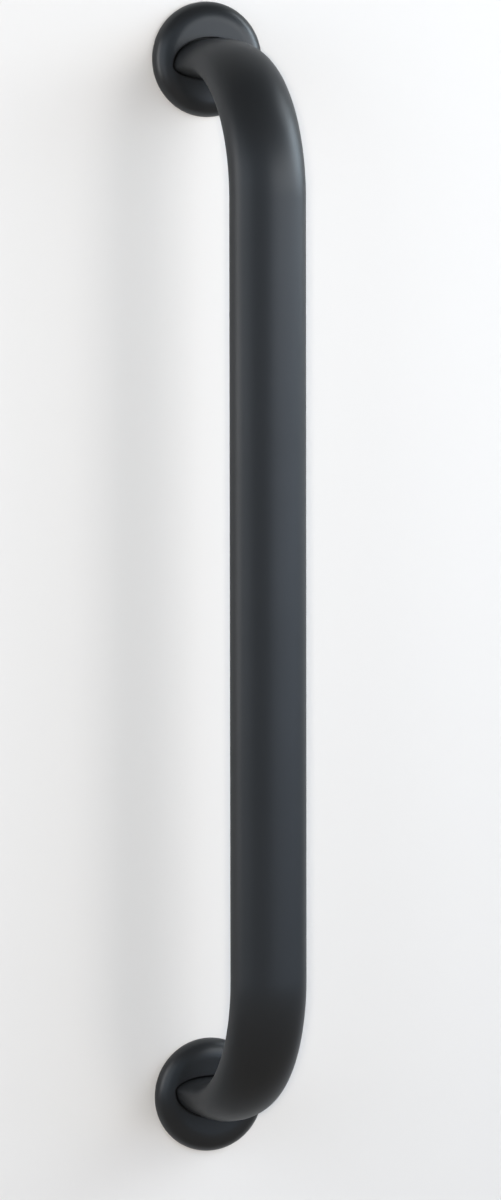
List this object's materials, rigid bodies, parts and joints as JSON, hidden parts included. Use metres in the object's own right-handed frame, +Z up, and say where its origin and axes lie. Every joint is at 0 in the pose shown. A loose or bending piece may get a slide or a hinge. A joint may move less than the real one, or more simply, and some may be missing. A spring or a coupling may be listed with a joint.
{
  "type": "grab bar",
  "caption": "Vertical wall grab bar of oval tube, bent to the wall at both ends, with round slide-on covers over screw plates.",
  "frame": {"origin": "centre of the lower wall plate's screw pattern, on the plate's back face, which lies in the wall plane", "axes": "+Z up the wall from the lower plate to the upper one, +Y into the wall, so the bar stands out along -Y, and +X to the right for someone facing the wall"},
  "size_m": [0.0662, 0.1155, 0.6662],
  "materials": {
    "bar_coat": "matt dark grey powder coat on a steel tube",
    "cover_coat": "matt dark grey powder coat on a pressed steel cover",
    "plate_coat": "matt dark grey powder coat on a steel plate",
    "ring_rubber": "smooth black rubber"
  },
  "bodies": {
    "bar": {"grab_tube": "bar_coat", "lower_wall_plate": "plate_coat", "lower_grip_ring": "ring_rubber", "upper_wall_plate": "plate_coat", "upper_grip_ring": "ring_rubber"},
    "lower_cover": {"lower_cover": "cover_coat"},
    "upper_cover": {"upper_cover": "cover_coat"}
  },
  "joints": [
    {"name": "lower_cover_slide", "type": "slide", "parent": "bar", "child": "lower_cover", "axis": [0, -1, 0], "range_m": [0, 0.018]},
    {"name": "upper_cover_slide", "type": "slide", "parent": "bar", "child": "upper_cover", "axis": [0, -1, 0], "range_m": [0, 0.018]}
  ]
}
